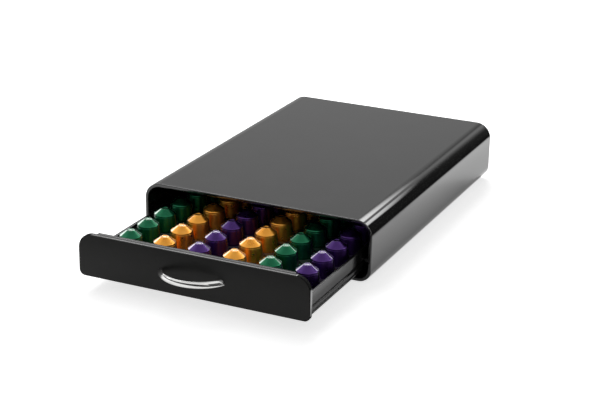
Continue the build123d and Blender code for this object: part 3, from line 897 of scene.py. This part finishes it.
# %% [markdown]
# ## Capsules
# A capsule stands on its flange with its crown up. Its profile is spun a full turn: a curled
# flange, a tapering body, a proud ring at the shoulder and a straight-sided crown like a low hat
# with a dimple in its top. The ring and the crown's edges are what catch the light, so they get
# more points than the plain wall between them.

# %% Spin the capsule's profile
FLANGE_PROFILE = [
    (0, 0.3), (16.6, 0.3), (17.0, 0.1), (17.9, 0.0), (18.35, 0.2), (18.5, 0.6), (18.35, 1.0),
    (17.9, 1.2), (17.2, 1.05), (16.7, 0.75), (15.6, 0.7), (15.1, 0.9), (14.9, 1.4),
]
SHOULDER_PROFILE = [
    (12.75, 18.6), (12.5, 19.0), (12.55, 19.5), (12.6, 20.1), (12.5, 20.7), (12.2, 21.25),
    (11.7, 21.7), (11.1, 22.0),
]
CROWN_PROFILE = [
    (5.2, 26.35), (4.7, 26.75), (4.2, 27.0), (3.6, 27.15), (3.1, 27.1), (2.8, 26.9), (2.5, 26.65),
    (2.0, 26.55), (0, 26.5),
]
capsule_mesh = bmesh.new()
turned_part(capsule_mesh, FLANGE_PROFILE + SHOULDER_PROFILE + CROWN_PROFILE, (0, 0, 0), 64)
capsule = template(capsule_mesh, "capsule")

# %% Stand them in their sockets
random.seed(7)
SLACK = 0.12
COLOURS = ("green", "orange", "purple", "orange", "green", "purple")
for number, (x, colour) in enumerate(zip(COLUMN_XS, COLOURS), 1):
    column_mesh = bmesh.new()
    for row in range(ROWS):
        slack = Vector((random.uniform(-SLACK, SLACK), random.uniform(-SLACK, SLACK), 0))
        spot = Vector((x, FIRST_ROW + row * ROW_PITCH, SOCKET_FLOOR)) + slack
        turn = Matrix.Rotation(random.uniform(0, math.tau), 4, "Z")
        stamp(column_mesh, capsule, Matrix.Translation(spot) @ turn)
    finish_piece(
        column_mesh, f"{colour}_capsules_{number}", "drawer", [f"capsules_column_{number}"],
        lacquers[colour],
    )

# %% [markdown]
# ## Pieces that stay as they are
# The runners and stops are plain mouldings whose CAD shapes are already right, so their meshes
# stay and only their material slots change.

# %% Give the runners and stops their plastic
for name in ("left_runner", "right_runner", "left_stop", "right_stop"):
    for slot in bpy.data.objects[name].material_slots:
        slot.material = inner_black
    print(name, "keeps its CAD mesh")

# %% [markdown]
# ## The room
# Gloss black shows nothing but the room, so the room is what has to be right. The casing's top
# mirrors a grey card behind it. Its right-hand rounding mirrors the lower edge of a large soft
# lamp on that card, in two bright lines with a thin dark one between. The drawer's front mirrors
# dark cards in front of it. All of these are flat sheets that only mirrors see: they give no
# light of their own to the object, cast no shadow and don't show in the picture.

# %% Make a card that only mirrors see
def card(name, corners, material):
    """A flat sheet through four points."""
    bm = bmesh.new()
    bm.faces.new([bm.verts.new(corner) for corner in corners])
    mesh = bpy.data.meshes.new(name)
    bm.to_mesh(mesh)
    bm.free()
    sheet = bpy.data.objects.new(name, mesh)
    bpy.context.collection.objects.link(sheet)
    mesh.materials.append(material)
    print(name, "stands in the room")
    return sheet


def upright(start, end, low, high):
    """The corners of an upright card between two (x, y) places."""
    return [(*start, low), (*end, low), (*end, high), (*start, high)]


def only_in_mirrors(sheet):
    for way in ("visible_camera", "visible_diffuse", "visible_shadow", "visible_transmission"):
        setattr(sheet, way, False)


# %% Make a glow that may change with the place on the card
def smooth_step(nodes, links, value, low, high):
    node = nodes.new("ShaderNodeMapRange")
    node.interpolation_type = "SMOOTHSTEP"
    node.inputs["From Min"].default_value = low
    node.inputs["From Max"].default_value = high
    links.new(value, node.inputs["Value"])
    return node.outputs["Result"]


def glow(name, strength):
    """An emission material. Its strength is a number, or a shade made from x, y and z."""
    material = bpy.data.materials.new(name)
    material.use_nodes = True
    nodes, links = material.node_tree.nodes, material.node_tree.links
    nodes.clear()
    output = nodes.new("ShaderNodeOutputMaterial")
    light = nodes.new("ShaderNodeEmission")
    links.new(light.outputs["Emission"], output.inputs["Surface"])
    if callable(strength):
        apart = nodes.new("ShaderNodeSeparateXYZ")
        links.new(nodes.new("ShaderNodeTexCoord").outputs["Object"], apart.inputs[0])
        links.new(strength(nodes, links, *apart.outputs), light.inputs["Strength"])
    else:
        light.inputs["Strength"].default_value = strength
    return material


# %% [markdown]
# ### The wall behind, with two soft lamps high on it
# The greys from left to right are what the casing's top mirrors, and they are set until
# its shading looks right. The lamps' lower edge drops towards the right, since each stretch of
# the rounding mirrors its own part of it, and the dark gap between the two lamps is what makes
# the bright lines fade halfway along the casing.

# %% Shade the wall
GREY_STOPS = [(-1.0, 0.35), (-0.45, 0.33), (0.0, 0.20), (0.22, 0.47), (0.42, 0.56), (0.62, 0.38),
              (0.8, 0.2), (1.0, 0.06), (1.3, 0.03)]
LAMP_STRENGTH, LAMP_BOTTOM, BOTTOM_FADE = 3.4, 1.47, (-0.08, 0.20)
DROP_START, DROP = 0.15, 0.38
GAP_MIDDLE, GAP_FADE = 0.48, (0.10, 0.33)
LAMP_END, END_FADE = 1.28, (0.0, 0.20)


def wall_shade(nodes, links, x, y, z):
    do, step = partial(math_node, nodes, links), partial(smooth_step, nodes, links)
    ramp = nodes.new("ShaderNodeValToRGB")
    stops = ramp.color_ramp.elements
    low, high = GREY_STOPS[0][0], GREY_STOPS[-1][0]
    for number, (at, grey) in enumerate(GREY_STOPS):
        position = (at - low) / (high - low)
        stop = stops[number] if number < 2 else stops.new(position)
        stop.position = position
        stop.color = (grey, grey, grey, 1)
    links.new(remap(nodes, links, x, 0.0, 1.0, low, high), ramp.inputs["Fac"])
    past = do("MAXIMUM", do("SUBTRACT", x, DROP_START), 0.0)
    drop = do("MULTIPLY", do("MULTIPLY", past, past), DROP)
    above_edge = do("ADD", do("ADD", z, drop), -LAMP_BOTTOM)
    lit = step(above_edge, *BOTTOM_FADE)
    from_gap = do("ABSOLUTE", do("SUBTRACT", x, GAP_MIDDLE))
    lit = do("MULTIPLY", lit, step(from_gap, *GAP_FADE))
    lit = do("MULTIPLY", lit, step(do("SUBTRACT", LAMP_END, x), *END_FADE))
    return do("ADD", ramp.outputs["Color"], do("MULTIPLY", lit, LAMP_STRENGTH))


WALL_Y, WALL_TOP = 2.6, 3.4
wall_corners = upright((-2.2, WALL_Y), (2.1, WALL_Y), 0, WALL_TOP)
only_in_mirrors(card("wall_card", wall_corners, glow("wall_glow", wall_shade)))

# %% [markdown]
# ### The lamps' faces at the sides, the dark front and the ceiling
# A lamp's hard edge would draw a bright polygon on the gloss, so each face fades towards its
# edges down to a dim level. The front of the room is nearly black, for the drawer's front and
# the middle of the handle to mirror.

# %% Shade a lamp's face
DIM = 0.5


def soft_face(strength, along, low, high):
    """A strength that fades to a dim level along y, towards the low end and the high end."""
    def shade(nodes, links, x, y, z):
        do, step = partial(math_node, nodes, links), partial(smooth_step, nodes, links)
        height = do("MULTIPLY", step(z, *low), do("SUBTRACT", 1.0, step(z, *high)))
        lit = do("MULTIPLY", step(y, *along), height)
        return do("ADD", do("MULTIPLY", lit, strength - DIM), DIM)
    return shade


# %% Stand them round the object
DARK, CEILING_GREY = 0.08, 0.62
FACES = {
    "left_card": (upright((-2.2, 2.6), (-2.6, 1.2), 0.2, 2.0),
                  soft_face(3.4, (1.9, 1.2), (0.1, 0.7), (1.4, 2.0))),
    "far_left_card": (upright((-2.6, 1.2), (-2.6, -0.5), 0.2, 2.0),
                      soft_face(3.4, (-0.1, 1.1), (0.1, 0.7), (1.4, 2.0))),
    "right_card": (upright((2.3, 0.9), (2.3, 2.6), 1.1, 3.2),
                   soft_face(4.0, (0.8, 1.5), (0.9, 1.4), (2.5, 3.2))),
    "left_lamp_card": (upright((-1.75, -0.55), (-1.75, -1.5), 0.3, 1.3),
                       soft_face(2.0, (-1.5, -1.0), (0.3, 0.7), (0.9, 1.3))),
    "front_card": (upright((-3.0, -2.6), (3.0, -2.6), 0, 0.6), DARK),
    "front_left_card": (upright((-3.0, -2.6), (-3.0, -0.5), 0, 0.6), DARK),
    "front_right_card": (upright((3.0, -2.6), (3.0, -0.3), 0, 1.6), DARK),
    "ceiling_card": ([(-1.6, -2.6, WALL_TOP), (1.6, -2.6, WALL_TOP), (1.6, 2.6, WALL_TOP),
                      (-1.6, 2.6, WALL_TOP)], CEILING_GREY),
}
for name, (corners, strength) in FACES.items():
    only_in_mirrors(card(name, corners, glow(f"{name}_glow", strength)))

# %% [markdown]
# ## Floor
# The floor is white paper. The camera sees it lifted to white far from the object, and near the
# object it keeps its shadow. Mirrors see it lifted a little everywhere, with painted glowing
# strips in front of the drawer and along the casing's right side. Further out to the right and
# in front they see it painted dark, and to the left behind the front a painted dim grey. The
# casing's side, the box's side and the handle mirror this painted light and painted shade.
# Light Path tells one kind of ray from the other.

# %% Say where mirrors see the floor with a painted glow, and where they see it painted dark
PAPER_TINTS = (0.83, 0.83, 0.83), (0.85, 0.85, 0.85)
PAPER_ROUGHNESS, PAPER_SHINE = 0.9, 0.1
NEAR_LIFT, LIFT_FADE = 0.72, (0.35, 1.0)
MIRRORED_LIFT = 0.19
# Painted glow on the floor that only mirrors see: its strength and where it fades in.
FRONT_PAINTED_GLOW, FRONT_GLOW_FADE = 0.4, (0.262, 0.275)
REAR_PAINTED_GLOW, REAR_FADE, REAR_RIGHT_FADE = 0.35, (0.08, 0.30), (0.165, 0.23)
SIDE_PAINTED_GLOW, SIDE_FADE, SIDE_RIGHT_FADE = 0.6, (0.06, 0.10), (0.160, 0.172)
# Where mirrors see the floor painted dark, and the colour of that painted shade.
RIGHT_PAINTED_DARK, FRONT_PAINTED_DARK = (0.20, 0.285), (0.36, 0.44)
LEFT_PAINTED_DARK, LEFT_BACK_PAINTED_DARK = (0.16, 0.24), (-0.15, 0.0)
PAINTED_DARK_COLOUR, LEFT_PAINTED_DARK_STRENGTH = (0.02, 0.02, 0.02, 1), 12.0

# %% Lay the floor
def pale_floor(name):
    material, nodes, links, shader, place = new_material(name)
    do, step = partial(math_node, nodes, links), partial(smooth_step, nodes, links)
    tint = remap(nodes, links, noise(nodes, links, place, 3.0, 2.0), 0.0, 1.0)
    links.new(colour_between(nodes, links, tint, *PAPER_TINTS), shader.inputs["Base Color"])
    shader.inputs["Roughness"].default_value = PAPER_ROUGHNESS
    shader.inputs["Specular IOR Level"].default_value = PAPER_SHINE
    path = nodes.new("ShaderNodeLightPath")
    mirrored = path.outputs["Is Glossy Ray"]
    seen = do("MAXIMUM", path.outputs["Is Camera Ray"], path.outputs["Is Transmission Ray"])
    reach = nodes.new("ShaderNodeVectorMath")
    reach.operation = "LENGTH"
    links.new(place, reach.inputs[0])
    far = step(reach.outputs["Value"], *LIFT_FADE)
    seen_lift = do("MULTIPLY", seen, remap(nodes, links, far, NEAR_LIFT, 1.0, 0.0, 1.0))
    apart = nodes.new("ShaderNodeSeparateXYZ")
    links.new(place, apart.inputs[0])
    right, back = apart.outputs[0], apart.outputs[1]
    left, front = do("MULTIPLY", right, -1.0), do("MULTIPLY", back, -1.0)
    # Painted glow: strips of floor that only mirrors see brighter, in front of the drawer and
    # behind and beside the casing on the right.
    spot = do("MULTIPLY", step(front, *FRONT_GLOW_FADE), FRONT_PAINTED_GLOW)
    rear = do("MULTIPLY", step(back, *REAR_FADE),
              do("MULTIPLY", step(right, *REAR_RIGHT_FADE), REAR_PAINTED_GLOW))
    beside = do("MULTIPLY", step(front, *SIDE_FADE),
                do("MULTIPLY", step(right, *SIDE_RIGHT_FADE), SIDE_PAINTED_GLOW))
    extra = do("ADD", do("ADD", do("ADD", spot, rear), beside), MIRRORED_LIFT)
    lift = do("ADD", seen_lift, do("MULTIPLY", mirrored, extra))
    shader.inputs["Emission Color"].default_value = (1, 1, 1, 1)
    links.new(lift, shader.inputs["Emission Strength"])
    # Painted shade: past these lines mirrors see the floor dark, or a dim grey on the left.
    left_in_painted_dark = do("MULTIPLY", step(back, *LEFT_BACK_PAINTED_DARK), step(left, *LEFT_PAINTED_DARK))
    in_painted_dark = do("MAXIMUM", step(right, *RIGHT_PAINTED_DARK), step(front, *FRONT_PAINTED_DARK))
    off = do("MULTIPLY", do("MAXIMUM", in_painted_dark, left_in_painted_dark), mirrored)
    painted_dark = nodes.new("ShaderNodeEmission")
    painted_dark.inputs["Color"].default_value = PAINTED_DARK_COLOUR
    links.new(remap(nodes, links, left_in_painted_dark, 1.0, LEFT_PAINTED_DARK_STRENGTH, 0.0, 1.0), painted_dark.inputs["Strength"])
    show_mix(nodes, links, off, shader, painted_dark)
    return material


FLOOR_HALF = 8
floor_signs = ((-1, -1), (1, -1), (1, 1), (-1, 1))
floor_corners = [(x * FLOOR_HALF, y * FLOOR_HALF, 0) for x, y in floor_signs]
card("floor", floor_corners, pale_floor("pale_floor"))

# %% [markdown]
# ## Light
# The world is plain white for the camera and for mirrors, and a fifth of that for the light it
# gives. Three area lamps do the rest. They don't show in mirrors: the soft cards stand for them
# there, since a lamp's own rectangle would draw a hard edge on the gloss.

# %% Light the room
world = bpy.data.worlds.new("room")
bpy.context.scene.world = world
world.use_nodes = True
nodes, links = world.node_tree.nodes, world.node_tree.links
nodes.clear()
path = nodes.new("ShaderNodeLightPath")
FILL = 0.20
seen = path.outputs["Is Camera Ray"]
for other in ("Is Glossy Ray", "Is Transmission Ray"):
    seen = math_node(nodes, links, "MAXIMUM", seen, path.outputs[other])
strength = remap(nodes, links, seen, FILL, 1.0, 0.0, 1.0)
backdrop = nodes.new("ShaderNodeBackground")
links.new(strength, backdrop.inputs["Strength"])
backdrop.inputs["Color"].default_value = (1, 1, 1, 1)
surroundings = nodes.new("ShaderNodeOutputWorld")
links.new(backdrop.outputs["Background"], surroundings.inputs["Surface"])

# %% Hang the lamps
def lamp(name, place, aim, size, power):
    light = bpy.data.lights.new(name, "AREA")
    light.shape = "RECTANGLE"
    light.size, light.size_y = size
    light.energy = power
    holder = bpy.data.objects.new(name, light)
    bpy.context.collection.objects.link(holder)
    holder.location = place
    holder.rotation_euler = (Vector(aim) - Vector(place)).to_track_quat("-Z", "Y").to_euler()
    holder.visible_glossy = False
    holder.visible_camera = False
    print(name, power, "watts")


lamp("back_lamp", (-0.9, 1.8, 1.6), (0, 0, 0), (1.6, 1.0), 36)
lamp("top_lamp", (-0.9, 0.5, 1.9), (0, 0, 0), (1.3, 1.3), 15)
lamp("left_lamp", (-1.65, -0.95, 0.8), (0, -0.1, 0.05), (0.6, 0.5), 3)

# %% [markdown]
# ## Camera
# The camera's place, direction and lens come from fitting a pinhole camera to the edges of the
# casing and the drawer in the picture, so the render's edges fall on the picture's.

# %% Place the camera
CAMERA_PLACE = Vector((741.35, -1593.3, 690.63)) * MM
CAMERA_FORWARD = Vector((-0.39328, 0.84920, -0.35240))
CAMERA_UP = Vector((-0.1634, 0.3126, 0.9357))
lens = bpy.data.cameras.new("camera")
lens.lens = 94.92
lens.sensor_width = 36.0
camera = bpy.data.objects.new("camera", lens)
bpy.context.collection.objects.link(camera)
side = CAMERA_FORWARD.cross(CAMERA_UP).normalized()
up = side.cross(CAMERA_FORWARD.normalized())
axes = Matrix((side, up, -CAMERA_FORWARD.normalized())).transposed().to_4x4()
camera.matrix_world = Matrix.Translation(CAMERA_PLACE) @ axes
bpy.context.scene.camera = camera
bpy.context.scene.view_settings.view_transform = "Standard"
print("camera at", [round(v, 3) for v in camera.matrix_world.translation])
